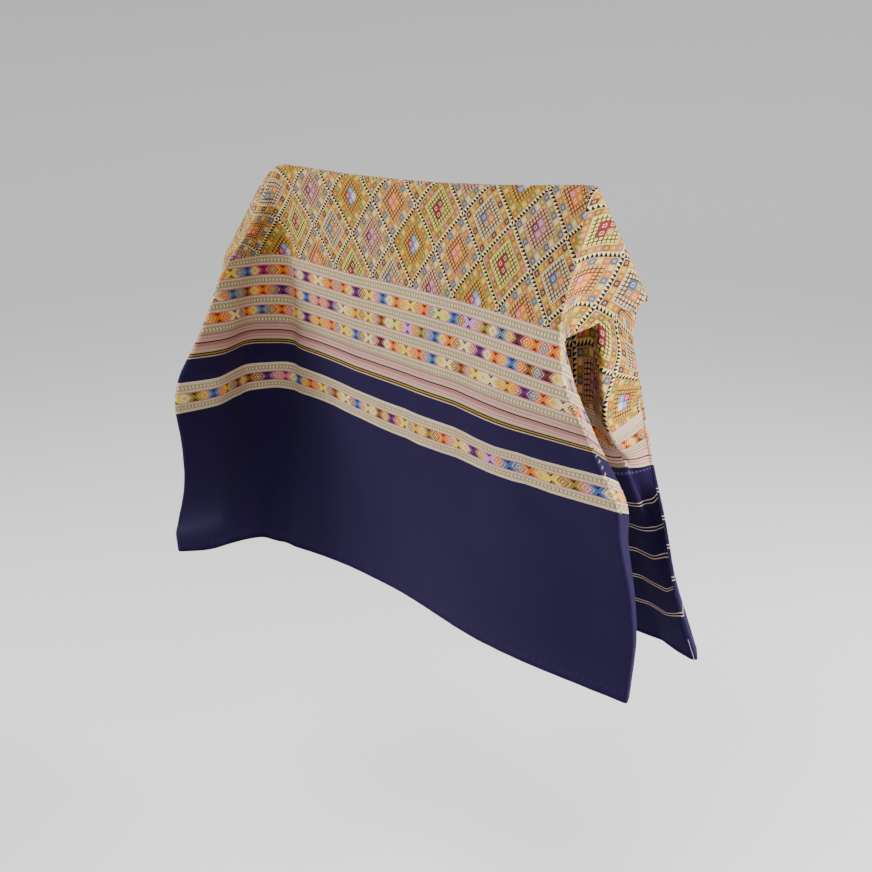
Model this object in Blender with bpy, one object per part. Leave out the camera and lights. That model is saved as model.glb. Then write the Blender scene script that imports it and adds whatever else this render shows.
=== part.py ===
"""A woven tube skirt, folded once across a thin level rail.

The skirt is a tube: a foot panel in brocade and a plainer body panel, joined edge to edge.
Laid flat it has an outer and an inner layer.  It hangs folded over a rail, foot end in
front and waist end behind.  It is wider than the rail, so both ends droop past the rail's
corners and take up their spare width in a pleat.

Metres, +X along the ridge, -Y towards the foot end, +Z up.  The origin is the underside of
the cloth in the middle of the ridge, where the rail carries it.  Inside this script heights
are drops below the ends of the ridge, and every point is lifted by the ridge's sag at the end.
"""
import bmesh
import bpy
import numpy as np

# ---- driving sizes -------------------------------------------------------------------
RAIL_HALF = 0.230          # half of the ridge's length that the rail carries
RIDGE_SAG = 0.010          # the ridge hangs this much lower in its middle than at its ends
SAG_FADE = 0.120           # and the sag has gone this far below the ridge
WALL = 0.0012              # thickness of the cloth
SEAM_GAP = 0.0003          # cut edges stay this far apart where two pieces meet
RIDGE_RADIUS = 0.0092      # of the outer layer's middle surface, round the rail
END_RADIUS = dict(side=0.013, strip=0.0105, seam=0.0120)   # and at the drooping ends
RIDGE_TOP = 0.0030         # outer layer's middle surface above the rail
FRONT_DROP = 0.507         # ridge to foot hem
BACK_DROP = 0.500          # ridge to waist edge
JOIN_DROP = 0.290          # ridge to the join of foot and body panels, behind

# Where the right side seam reaches the foot of the pleat.
RIGHT_PLEAT = np.array([0.2320, -0.0480, -0.1380])
LEFT_PLEAT_DROP = 0.195    # the left side fold reaches the crease at this drop
RIGHT_PLEAT_DROP = 0.120   # the right side seam reaches the panel's edge at this drop
END_FACE_LEAN = 0.006      # the inner layer lies this much lower under the sloping left end
END_FACE_HOLLOW = 0.008    # the lower edge of the left end curves in by this much
LEFT_RETURN = np.array([-0.0110, 0.0080, -0.0020])   # the side fold sits behind the crease

# Stations round a half section, from the left side fold to the right side seam.
STATIONS = ("side", "crease", "turn", "mid", "valley", "quarter", "middle", "third", "near",
            "edge", "strip", "seam")
# How much of each station's corner is rounded away.
EASE = dict(side=0.0030, crease=0.0060, turn=0.0180, mid=0.0200, valley=0.0120, quarter=0.0500,
            middle=0.0500, third=0.0500, near=0.0300, edge=0.0040, strip=0.0060, seam=0.0030)
LONG_SPANS = ("valley", "quarter", "middle", "third", "near")   # one more point before these
EASE_POINTS = (0.15, 0.85)   # places of the two points on each eased corner

# The ridge droops past the rail's ends.  A station there is level again at this drop.
FRONT_FADE = dict(crease=0.12, turn=0.12)
BACK_FADE = dict(side=0.42, turn=0.12, strip=0.16, seam=0.22)
# The front's strip station lies this share of the way from the side seam to the edge.
STRIP_SHARE = (0.25, 0.50)
STRIP_SPAN = 0.080         # and passes from the first share to the second over this height
# The back's crease station lies this share of the way from the side fold to the turn.
BACK_CREASE_SHARE = (0.82, 0.37)
BACK_CREASE_SPAN = 0.150
# Below the pleats the inner layer's corners relax by this share, over this height.
RELAX_SHARE = 0.4
RELAX_SPAN = 0.050

# ---- the ridge -----------------------------------------------------------------------
# station: place on the ridge line, the way the foot side lies from it, the way up from it
RIDGE = {
    "side": ((-0.3350, -0.0060, -0.1175), (0.00, -1.00, 0.00), (-0.71, 0.00, 0.70)),
    "crease": ((-0.2620, -0.0040, -0.0240), (0.00, -1.00, 0.00), (-0.60, 0.00, 0.80)),
    "turn": ((-0.2420, -0.0010, -0.0050), (0.00, -1.00, 0.00), (-0.30, 0.00, 0.95)),
    "mid": ((-0.2280, 0.0000, -0.0010), (0.00, -1.00, 0.00), (-0.10, 0.00, 0.99)),
    "valley": ((-0.2120, 0.0000, 0.0000), (0.00, -1.00, 0.00), (0.00, 0.00, 1.00)),
    "quarter": ((-0.1300, 0.0000, 0.0000), (0.00, -1.00, 0.00), (0.00, 0.00, 1.00)),
    "middle": ((0.0000, 0.0000, 0.0000), (0.00, -1.00, 0.00), (0.00, 0.00, 1.00)),
    "third": ((0.1200, 0.0000, 0.0000), (0.00, -1.00, 0.00), (0.00, 0.00, 1.00)),
    "near": ((0.2000, 0.0000, 0.0000), (0.00, -1.00, 0.00), (0.00, 0.00, 1.00)),
    "edge": ((0.2280, 0.0000, -0.0010), (0.10, -0.99, 0.00), (0.10, 0.05, 0.99)),
    "strip": ((0.2364, 0.0160, -0.0305), (0.60, -0.80, 0.00), (0.35, 0.30, 0.87)),
    "seam": ((0.2545, 0.0600, -0.1120), (0.87, -0.50, 0.00), (0.46, 0.72, 0.52)),
}

# ---- sections ------------------------------------------------------------------------
# One row for each drop below the ridge.  A _y is the distance out from the rail's plane,
# forwards in FRONT and backwards in BACK, and so is a column without an ending.
FRONT_COLUMNS = (
    "drop", "crease_x", "crease_y", "turn_x", "turn_y", "mid_x", "mid_y", "valley_x", "valley_y",
    "quarter", "middle", "third", "near", "edge_x", "edge_y", "strip_x", "strip_y", "strip_fall")
FRONT = [
    (0.000, -0.262, 0.013, -0.242, 0.010, -0.228, 0.009, -0.212, 0.009,
     0.009, 0.009, 0.009, 0.009, 0.228, 0.009, 0.232, 0.048, 0.018),
    (0.055, -0.243, 0.045, -0.238, 0.030, -0.235, 0.018, -0.224, 0.012,
     0.017, 0.024, 0.038, 0.045, 0.242, 0.047, 0.232, 0.048, 0.018),
    (0.120, -0.239, 0.097, -0.236, 0.072, -0.240, 0.040, -0.229, 0.014,
     0.024, 0.040, 0.062, 0.079, 0.258, 0.092, 0.232, 0.048, 0.018),
    (0.160, -0.240, 0.118, -0.232, 0.088, -0.247, 0.046, -0.229, 0.013,
     0.022, 0.042, 0.069, 0.089, 0.274, 0.107, 0.255, 0.056, 0.022),
    (0.200, -0.236, 0.145, -0.226, 0.106, -0.252, 0.048, -0.229, 0.013,
     0.018, 0.042, 0.072, 0.094, 0.296, 0.106, 0.290, 0.070, 0.022),
    (0.240, -0.238, 0.172, -0.220, 0.126, -0.254, 0.062, -0.228, 0.013,
     0.020, 0.046, 0.077, 0.098, 0.306, 0.090, 0.304, 0.057, 0.018),
    (0.270, -0.243, 0.178, -0.230, 0.122, -0.260, 0.058, -0.238, 0.015,
     0.016, 0.048, 0.075, 0.086, 0.318, 0.080, 0.314, 0.050, 0.014),
    (0.320, -0.239, 0.177, -0.232, 0.120, -0.262, 0.060, -0.243, 0.019,
     0.015, 0.044, 0.067, 0.076, 0.319, 0.066, 0.316, 0.044, 0.010),
    (0.380, -0.240, 0.178, -0.236, 0.125, -0.266, 0.070, -0.250, 0.026,
     0.016, 0.036, 0.060, 0.066, 0.325, 0.050, 0.322, 0.035, 0.006),
    (0.440, -0.263, 0.178, -0.250, 0.128, -0.276, 0.078, -0.258, 0.034,
     0.018, 0.031, 0.056, 0.059, 0.330, 0.044, 0.326, 0.031, 0.003),
    (0.480, -0.306, 0.156, -0.280, 0.122, -0.279, 0.080, -0.263, 0.039,
     0.020, 0.029, 0.054, 0.057, 0.329, 0.045, 0.325, 0.032, 0.001),
    (0.507, -0.314, 0.150, -0.285, 0.118, -0.281, 0.080, -0.267, 0.043,
     0.022, 0.028, 0.052, 0.054, 0.328, 0.045, 0.324, 0.033, 0.000),
]
# In BACK the last four are the inner layer's own: "bend" beside the rail's end, and "fold"
# where it swings forward past that end and turns.
BACK_COLUMNS = (
    "drop", "side_x", "side_y", "turn_x", "turn_y", "mid_x", "mid_y", "valley_x", "valley_y",
    "quarter", "middle", "third", "near", "edge_x", "edge_y", "strip_x", "strip_y",
    "seam_x", "seam_y", "bend_x", "bend_y", "fold_x", "fold_y")
BACK = [
    (0.000, -0.335, 0.007, -0.242, 0.009, -0.228, 0.009, -0.212, 0.009,
     0.009, 0.009, 0.009, 0.009, 0.227, 0.009, 0.230, 0.024, 0.244, 0.066,
     0.227, 0.0067, 0.232, 0.021),
    (0.055, -0.334, 0.034, -0.262, 0.020, -0.240, 0.015, -0.222, 0.012,
     0.018, 0.022, 0.023, 0.023, 0.224, 0.024, 0.231, 0.036, 0.246, 0.056,
     0.227, 0.0070, 0.2345, 0.0155),
    (0.125, -0.332, 0.062, -0.278, 0.038, -0.250, 0.024, -0.228, 0.014,
     0.026, 0.036, 0.038, 0.039, 0.226, 0.041, 0.237, 0.046, 0.255, 0.052,
     0.228, 0.0075, 0.2355, 0.010),
    (0.165, -0.333, 0.078, -0.282, 0.050, -0.252, 0.029, -0.229, 0.014,
     0.028, 0.041, 0.044, 0.046, 0.232, 0.050, 0.245, 0.052, 0.260, 0.054,
     0.230, 0.0075, 0.248, -.002),
    (0.220, -0.330, 0.098, -0.286, 0.066, -0.256, 0.036, -0.230, 0.015,
     0.030, 0.046, 0.052, 0.056, 0.240, 0.062, 0.252, 0.062, 0.265, 0.058,
     0.236, 0.0100, 0.264, -.016),
    (0.290, -0.330, 0.116, -0.290, 0.080, -0.258, 0.046, -0.234, 0.017,
     0.034, 0.052, 0.062, 0.070, 0.248, 0.080, 0.264, 0.079, 0.276, 0.070,
     0.244, 0.0360, 0.266, 0.034),
    (0.360, -0.332, 0.124, -0.294, 0.090, -0.266, 0.054, -0.240, 0.022,
     0.038, 0.056, 0.070, 0.082, 0.262, 0.094, 0.283, 0.088, 0.298, 0.070,
     0.256, 0.0640, 0.279, 0.060),
    (0.430, -0.336, 0.122, -0.302, 0.088, -0.272, 0.058, -0.246, 0.028,
     0.042, 0.058, 0.078, 0.094, 0.280, 0.106, 0.303, 0.094, 0.318, 0.068,
     0.268, 0.0780, 0.294, 0.070),
    (0.500, -0.342, 0.112, -0.312, 0.082, -0.280, 0.062, -0.252, 0.034,
     0.046, 0.062, 0.084, 0.100, 0.310, 0.106, 0.335, 0.092, 0.349, 0.067,
     0.300, 0.0780, 0.326, 0.068),
]
# How far the inner layer's middle surface lies from the outer one's, station by station.
GAP_COLUMNS = ("drop",) + STATIONS
FRONT_GAP = [
    (0.000, .0060, .0034, .0028, .0024, .0024, .0024, .0024, .0024, .0024, .0026, .0034, .0060),
    (0.120, .0060, .0036, .0036, .0034, .0030, .0040, .0060, .0080, .0080, .0036, .0036, .0060),
    (0.240, .0060, .0046, .0046, .0040, .0032, .0060, .0120, .0200, .0240, .0100, .0040, .0060),
    (0.380, .0060, .0050, .0060, .0044, .0036, .0060, .0120, .0200, .0200, .0120, .0040, .0060),
    (0.507, .0060, .0050, .0090, .0054, .0040, .0060, .0100, .0160, .0160, .0120, .0040, .0060),
]
BACK_GAP = [
    (0.000, .0060, .0034, .0028, .0024, .0024, .0024, .0024, .0024, .0024, .0026, .0034, .0060),
    (0.125, .0060, .0040, .0040, .0036, .0034, .0120, .0200, .0260, .0300, .0360, .0060, .0060),
    (0.290, .0060, .0060, .0060, .0044, .0040, .0120, .0240, .0300, .0320, .0300, .0060, .0060),
    (0.500, .0060, .0060, .0060, .0050, .0044, .0120, .0200, .0260, .0260, .0240, .0060, .0060),
]

# ---- rows ----------------------------------------------------------------------------
RIDGE_EASE = 0.012         # the ridge's rounding starts this far below it
FRONT_ROWS = (0.507, 0.476, 0.440, 0.405, 0.370, 0.335, 0.305, 0.280, 0.255, 0.230, 0.208,
              0.188, 0.170, 0.150, 0.132, 0.116, 0.100, 0.082, 0.064, 0.046, 0.028)
BACK_ROWS = (0.028, 0.046, 0.066, 0.088, 0.110, 0.132, 0.158, 0.186, 0.216, 0.246, 0.270,
             JOIN_DROP)
BODY_ROWS = (JOIN_DROP + SEAM_GAP, 0.320, 0.355, 0.390, 0.425, 0.462, BACK_DROP)
RIDGE_SHARES = (0.0, 0.4, 0.75)    # places along each half of the ridge's rounding

INDIGO = (0.055, 0.048, 0.120, 1.0)
BROCADE = (0.520, 0.400, 0.250, 1.0)


def smooth(share):
    """0 to 1 with level ends."""
    share = min(1.0, max(0.0, share))
    return share * share * (3 - 2 * share)


def blend(a, b, share):
    return a + (b - a) * share


def unit(v):
    return v / np.linalg.norm(v)


def read(table, columns, drop):
    """The table's row at one drop, as a dict, on a smooth curve through its rows."""
    rows = np.array(table)
    drops = rows[:, 0]
    slopes = np.gradient(rows, drops, axis=0)
    i = int(np.clip(np.searchsorted(drops, drop) - 1, 0, len(drops) - 2))
    span = drops[i + 1] - drops[i]
    t = min(1.0, max(0.0, (drop - drops[i]) / span))
    value = ((1 + 2 * t) * (1 - t) ** 2 * rows[i] + t * (1 - t) ** 2 * span * slopes[i]
             + t * t * (3 - 2 * t) * rows[i + 1] + t * t * (t - 1) * span * slopes[i + 1])
    return dict(zip(columns, value))


def droop(station, drop, fades):
    """Height of a station past the rail's end: it starts from the drooping ridge."""
    return -drop + RIDGE[station][0][2] * max(0.0, 1 - drop / fades[station])


def panel_point(station, out, drop, side):
    """A point of the panel that hangs from the rail."""
    x = RIDGE[station][0][0]
    dip = RIDGE_SAG * (1 - (x / RAIL_HALF) ** 2) * max(0.0, 1 - drop / SAG_FADE)
    return np.array([x, side * out, -drop - dip])


def ridge_corners(side, gaps):
    """Corners of one side of the ridge: line, half width and height for each station."""
    corners = []
    for station, gap in zip(STATIONS, gaps):
        place, foot_way, up = (np.array(v) for v in RIDGE[station])
        place = place - [0, 0, RIDGE_SAG * max(0.0, 1 - (place[0] / RAIL_HALF) ** 2)]
        radius = END_RADIUS.get(station, RIDGE_RADIUS) - gap
        corners.append(place - side * foot_way * radius + up * (RIDGE_TOP - gap))
    return np.array(corners)


RIDGE_START = dict(zip(STATIONS, ridge_corners(-1, [0.0] * len(STATIONS))))


def front_corners(drop):
    """Outer layer in front: the corners round one section."""
    s = read(FRONT, FRONT_COLUMNS, drop)
    crease = np.array([s["crease_x"], -s["crease_y"], droop("crease", drop, FRONT_FADE)])
    side = crease + LEFT_RETURN
    if drop < LEFT_PLEAT_DROP:
        low = read(FRONT, FRONT_COLUMNS, LEFT_PLEAT_DROP)
        foot = np.array([low["crease_x"], -low["crease_y"],
                         -LEFT_PLEAT_DROP]) + LEFT_RETURN
        share = drop / LEFT_PLEAT_DROP
        side = blend(RIDGE_START["side"], foot, share)
        side[0] += END_FACE_HOLLOW * 4 * share * (1 - share)
    edge = np.array([s["edge_x"], -s["edge_y"], -drop])
    share = drop / RIGHT_PLEAT_DROP
    if share < 1:
        seam = blend(RIDGE_START["seam"], RIGHT_PLEAT, share)
        panel_foot = read(FRONT, FRONT_COLUMNS, RIGHT_PLEAT_DROP)
        edge_foot = np.array([panel_foot["edge_x"], -panel_foot["edge_y"], -RIGHT_PLEAT_DROP])
        strip_foot = blend(RIGHT_PLEAT, edge_foot, STRIP_SHARE[0])
        strip = blend(RIDGE_START["strip"], strip_foot, share)
    else:
        seam = np.array([s["strip_x"], -s["strip_y"], -drop - s["strip_fall"]])
        past = smooth((drop - RIGHT_PLEAT_DROP) / STRIP_SPAN)
        strip = blend(seam, edge, blend(*STRIP_SHARE, past))
    corners = [side, crease,
               np.array([s["turn_x"], -s["turn_y"], droop("turn", drop, FRONT_FADE)]),
               np.array([s["mid_x"], -s["mid_y"], -drop]),
               np.array([s["valley_x"], -s["valley_y"], -drop])]
    corners += [panel_point(name, s[name], drop, -1) for name in LONG_SPANS[1:]]
    return np.array(corners + [edge, strip, seam])


def back_corners(drop):
    """Outer layer behind: the corners round one section."""
    s = read(BACK, BACK_COLUMNS, drop)
    side = np.array([s["side_x"], s["side_y"], droop("side", drop, BACK_FADE)])
    turn = np.array([s["turn_x"], s["turn_y"], droop("turn", drop, BACK_FADE)])
    crease = blend(side, turn, blend(*BACK_CREASE_SHARE, smooth(drop / BACK_CREASE_SPAN)))
    edge = np.array([s["edge_x"], s["edge_y"], -drop])
    seam = np.array([s["seam_x"], s["seam_y"], droop("seam", drop, BACK_FADE)])
    strip = np.array([s["strip_x"], s["strip_y"], droop("strip", drop, BACK_FADE)])
    corners = [side, crease, turn,
               np.array([s["mid_x"], s["mid_y"], -drop]),
               np.array([s["valley_x"], s["valley_y"], -drop])]
    corners += [panel_point(name, s[name], drop, 1) for name in LONG_SPANS[1:]]
    return np.array(corners + [edge, strip, seam])


SHARPEST = 0.30            # a hairpin's mitre stops growing here


def inset(corners, gaps, side):
    """The corners moved towards the inner layer, square to the section in plan."""
    steps = np.diff(corners[:, :2], axis=0)
    steps /= np.linalg.norm(steps, axis=1)[:, None]
    normals = np.column_stack([side * steps[:, 1], -side * steps[:, 0]])
    moved = corners.copy()
    for i, gap in enumerate(gaps):
        before = normals[max(i - 1, 0)]
        after = normals[min(i, len(normals) - 1)]
        mitre = (before + after) / max(SHARPEST, 1 + before @ after)
        moved[i, :2] += mitre * gap
    return moved


def inner_corners(outer, drop, side):
    """Inner layer: the corners round one section, inside the outer layer's."""
    table = FRONT_GAP if side < 0 else BACK_GAP
    gaps = read(table, GAP_COLUMNS, drop)
    inner = inset(outer, [gaps[name] for name in STATIONS], side)
    at = {name: i for i, name in enumerate(STATIONS)}
    if side < 0:
        lean = min(1.0, 2 * max(0.0, 1 - drop / LEFT_PLEAT_DROP))
        inner[at["side"]][2] -= END_FACE_LEAN * lean
        inner[at["crease"]][2] -= END_FACE_LEAN * lean
        past = smooth((drop - LEFT_PLEAT_DROP) / RELAX_SPAN)
        relaxed = blend(inner[at["side"]], inner[at["turn"]], RELAX_SHARE)
        inner[at["crease"]] = blend(inner[at["crease"]], relaxed, past)
        past = smooth((drop - RIGHT_PLEAT_DROP) / RELAX_SPAN)
        relaxed = blend(inner[at["seam"]], inner[at["edge"]], RELAX_SHARE)
        inner[at["strip"]] = blend(inner[at["strip"]], relaxed, past)
    else:
        s = read(BACK, BACK_COLUMNS, drop)
        inner[at["edge"]][:2] = s["bend_x"], s["bend_y"]
        inner[at["strip"]][:2] = s["fold_x"], s["fold_y"]
    return inner


def close_ends(corners, other):
    """Adds the turned edge at each end, up to the middle between the two layers."""
    ends = []
    for i in (0, -1):
        way = unit(other[i] - corners[i])
        middle = (corners[i] + other[i]) / 2
        ends.append(middle - way * SEAM_GAP / 2)
    return np.vstack([ends[0], corners, ends[1]])


def round_section(corners):
    """Points round one section: its corners eased, with a point more on the long spans."""
    points = [corners[0]]
    for i, name in enumerate(STATIONS, start=1):
        here = corners[i]
        before = corners[i - 1] - here
        after = corners[i + 1] - here
        start = here + before * min(0.45, EASE[name] / np.linalg.norm(before))
        end = here + after * min(0.45, EASE[name] / np.linalg.norm(after))
        if name in LONG_SPANS:
            points.append((points[-1] + start) / 2)
        for t in EASE_POINTS:
            points.append((1 - t) ** 2 * start + 2 * t * (1 - t) * here + t * t * end)
    points.append(corners[-1])
    return np.array(points)


def layer_pair(drop, side):
    """Rounded sections of the outer and the inner layer at one drop."""
    outer = front_corners(drop) if side < 0 else back_corners(drop)
    inner = inner_corners(outer, drop, side)
    return (round_section(close_ends(outer, inner)),
            round_section(close_ends(inner, outer)))


def ridge_pair(side):
    """The same at the ridge, for one side of its rounding."""
    gaps = FRONT_GAP[0][1:]
    outer = ridge_corners(side, [0.0] * len(STATIONS))
    inner = ridge_corners(side, gaps)
    return (round_section(close_ends(outer, inner)),
            round_section(close_ends(inner, outer)))


def sheets():
    """The outer and the inner layer as grids of points, from foot hem to waist edge."""
    layers = []
    fronts = [layer_pair(drop, -1) for drop in FRONT_ROWS]
    backs = [layer_pair(drop, 1) for drop in BACK_ROWS + BODY_ROWS]
    front_start = layer_pair(RIDGE_EASE, -1)
    back_start = layer_pair(RIDGE_EASE, 1)
    front_top = ridge_pair(-1)
    back_top = ridge_pair(1)
    for k in (0, 1):
        top = (front_top[k] + back_top[k]) / 2
        over = [(1 - t) ** 2 * front_start[k] + 2 * t * (1 - t) * front_top[k] + t * t * top
                for t in RIDGE_SHARES]
        down = [(1 - t) ** 2 * back_start[k] + 2 * t * (1 - t) * back_top[k] + t * t * top
                for t in RIDGE_SHARES]
        layers.append(np.array([row[k] for row in fronts] + over + [top] + down[::-1]
                               + [row[k] for row in backs]))
    return layers


def grid_normals(grid):
    """Unit normals of a grid of points, each the mean of the quads round it."""
    quad = np.cross(grid[1:, 1:] - grid[:-1, :-1], grid[:-1, 1:] - grid[1:, :-1])
    quad /= np.linalg.norm(quad, axis=2)[:, :, None]
    total = np.zeros_like(grid)
    total[:-1, :-1] += quad
    total[1:, :-1] += quad
    total[:-1, 1:] += quad
    total[1:, 1:] += quad
    return total / np.linalg.norm(total, axis=2)[:, :, None]


def wall_object(name, grid, normal, colour, roughness):
    """One piece of cloth: the grid of points thickened to a closed wall."""
    rows, columns = grid.shape[:2]
    lift = np.array([0, 0, RIDGE_SAG])
    bm = bmesh.new()
    faces = [[[bm.verts.new(grid[r, c] + lift + way * normal[r, c] * WALL / 2)
               for c in range(columns)] for r in range(rows)] for way in (1, -1)]
    for verts, turn in zip(faces, (1, -1)):
        for r in range(rows - 1):
            for c in range(columns - 1):
                a, b = verts[r][c], verts[r][c + 1]
                d, e = verts[r + 1][c], verts[r + 1][c + 1]
                bm.faces.new((a, b, e)[::turn])
                bm.faces.new((a, e, d)[::turn])
    rim = ([(r, 0) for r in range(rows)] + [(rows - 1, c) for c in range(1, columns)]
           + [(r, columns - 1) for r in range(rows - 2, -1, -1)]
           + [(0, c) for c in range(columns - 2, 0, -1)])
    for (r1, c1), (r2, c2) in zip(rim, rim[1:] + rim[:1]):
        bm.faces.new((faces[0][r1][c1], faces[0][r2][c2], faces[1][r2][c2], faces[1][r1][c1]))
    bmesh.ops.recalc_face_normals(bm, faces=bm.faces)
    mesh = bpy.data.meshes.new(name)
    bm.to_mesh(mesh)
    bm.free()
    mesh.shade_smooth()
    material = bpy.data.materials.new(name)
    material.use_nodes = True
    shader = material.node_tree.nodes["Principled BSDF"]
    shader.inputs["Base Color"].default_value = colour
    shader.inputs["Roughness"].default_value = roughness
    mesh.materials.append(material)
    obj = bpy.data.objects.new(name, mesh)
    bpy.context.scene.collection.objects.link(obj)
    return obj


for old in list(bpy.data.objects):
    bpy.data.objects.remove(old, do_unlink=True)

top_row = len(FRONT_ROWS) + len(RIDGE_SHARES)
foot_rows = top_row + 1 + len(RIDGE_SHARES) + len(BACK_ROWS)
grids = sheets()
normals = [grid_normals(grid) for grid in grids]
for end in (0, -1):        # the two layers' edges face each other squarely
    shared = normals[0][:, end] - normals[1][:, end]
    shared /= np.linalg.norm(shared, axis=1)[:, None]
    normals[0][:, end] = shared
    normals[1][:, end] = -shared
for layer, grid, normal in zip(("outer", "inner"), grids, normals):
    # The foot panel crosses the rail.  Its front and back are a solid each, a seam's gap apart.
    across_ridge = grid[top_row + 1] - grid[top_row - 1]
    across_ridge *= SEAM_GAP / 2 / np.linalg.norm(across_ridge, axis=1)[:, None]
    front = grid[:top_row + 1].copy()
    front[-1] -= across_ridge
    back = grid[top_row:foot_rows].copy()
    back[0] += across_ridge
    body = grid[foot_rows:]
    wall_object("foot_panel_front_" + layer, front, normal[:top_row + 1], BROCADE, 0.85)
    wall_object("foot_panel_back_" + layer, back, normal[top_row:foot_rows], BROCADE, 0.85)
    wall_object("body_panel_" + layer, body, normal[foot_rows:], INDIGO, 0.80)
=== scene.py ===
"""A woven tube skirt hung over a thin rail: its visual model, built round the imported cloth."""

import bpy
import numpy as np
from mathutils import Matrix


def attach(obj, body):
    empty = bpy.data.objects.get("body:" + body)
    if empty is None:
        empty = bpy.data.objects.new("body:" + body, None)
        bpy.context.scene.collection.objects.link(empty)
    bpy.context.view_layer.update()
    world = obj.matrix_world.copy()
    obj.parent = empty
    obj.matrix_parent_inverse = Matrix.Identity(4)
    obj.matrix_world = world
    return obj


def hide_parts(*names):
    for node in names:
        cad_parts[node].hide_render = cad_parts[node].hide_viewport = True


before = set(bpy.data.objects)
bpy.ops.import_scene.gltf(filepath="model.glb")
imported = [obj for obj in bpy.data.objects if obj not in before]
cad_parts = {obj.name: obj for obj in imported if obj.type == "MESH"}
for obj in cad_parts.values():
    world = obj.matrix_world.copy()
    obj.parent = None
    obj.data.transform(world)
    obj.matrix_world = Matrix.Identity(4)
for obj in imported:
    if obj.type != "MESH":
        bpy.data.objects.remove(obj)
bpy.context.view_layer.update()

# ================================================
# Foot panel
# The brocade part of the skirt: hand-woven in cotton and silk, and sewn into a tube.  It is
# folded over the rail with its foot end in front, so it shows as an outer and an inner layer,
# with the tube's fold at the left and its side seam at the right.
# ================================================
RAIL_HALF = 0.230
RIDGE_SAG = 0.010          # the ridge hangs this much lower in its middle than at its ends
SAG_FADE = 0.120
WALL = 0.0012
SEAM_GAP = 0.0003
RIDGE_RADIUS = 0.0092
END_RADIUS = dict(side=0.013, strip=0.0105, seam=0.0120)
RIDGE_TOP = 0.0030
RIDGE_EASE = 0.012
FRONT_DROP = 0.507
BACK_DROP = 0.500
JOIN_DROP = 0.290
RIGHT_PLEAT = np.array([0.2320, -0.0480, -0.1380])
LEFT_PLEAT_DROP = 0.195
RIGHT_PLEAT_DROP = 0.120
END_FACE_LEAN = 0.006
END_FACE_HOLLOW = 0.008
LEFT_RETURN = np.array([-0.0110, 0.0080, -0.0020])
SHARPEST = 0.30            # keeps the mitre short at the sharpest corners
LONGEST_EASE = 0.45        # an eased corner takes at most this share of the span beside it

FRONT_FADE = dict(crease=0.12, turn=0.12)
BACK_FADE = dict(side=0.42, turn=0.12, strip=0.16, seam=0.22)
STRIP_SHARE = (0.25, 0.50)
STRIP_SPAN = 0.080
BACK_CREASE_SHARE = (0.82, 0.37)
BACK_CREASE_SPAN = 0.150
RELAX_SHARE = 0.4
RELAX_SPAN = 0.050

# Tables are in millimetres.  Here a row holds a station round a half section, from the left
# side fold to the right side seam: its place on the ridge line, the ways from there to the
# foot side and up, how far from its corner the cloth bends, and the steps of the fine mesh on
# the way to the corner and round it.
RIDGE = {
    "side": ((-335, -6, -117.5), (0, -1, 0), (-.71, 0, .70), 3, 1, 3),
    "crease": ((-262, -4, -24), (0, -1, 0), (-.60, 0, .80), 6, 8, 4),
    "turn": ((-242, -1, -5), (0, -1, 0), (-.30, 0, .95), 18, 3, 4),
    "mid": ((-228, 0, -1), (0, -1, 0), (-.10, 0, .99), 20, 2, 4),
    "valley": ((-212, 0, 0), (0, -1, 0), (0, 0, 1), 12, 2, 4),
    "quarter": ((-130, 0, 0), (0, -1, 0), (0, 0, 1), 50, 8, 4),
    "middle": ((0, 0, 0), (0, -1, 0), (0, 0, 1), 50, 10, 4),
    "third": ((120, 0, 0), (0, -1, 0), (0, 0, 1), 50, 9, 4),
    "near": ((200, 0, 0), (0, -1, 0), (0, 0, 1), 30, 7, 4),
    "edge": ((228, 0, -1), (.10, -.99, 0), (.10, .05, .99), 4, 5, 4),
    "strip": ((236.4, 16, -30.5), (.60, -.80, 0), (.35, .30, .87), 6, 5, 4),
    "seam": ((254.5, 60, -112), (.87, -.50, 0), (.46, .72, .52), 3, 4, 3),
}
END_STEPS = 2
STATIONS = tuple(RIDGE)
HUNG = ("quarter", "middle", "third", "near")
PLACE, FOOT_WAY, UP, EASE, STEPS, CORNER_STEPS = (
    {name: np.array(row[k]) for name, row in RIDGE.items()} for k in range(6))

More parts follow.
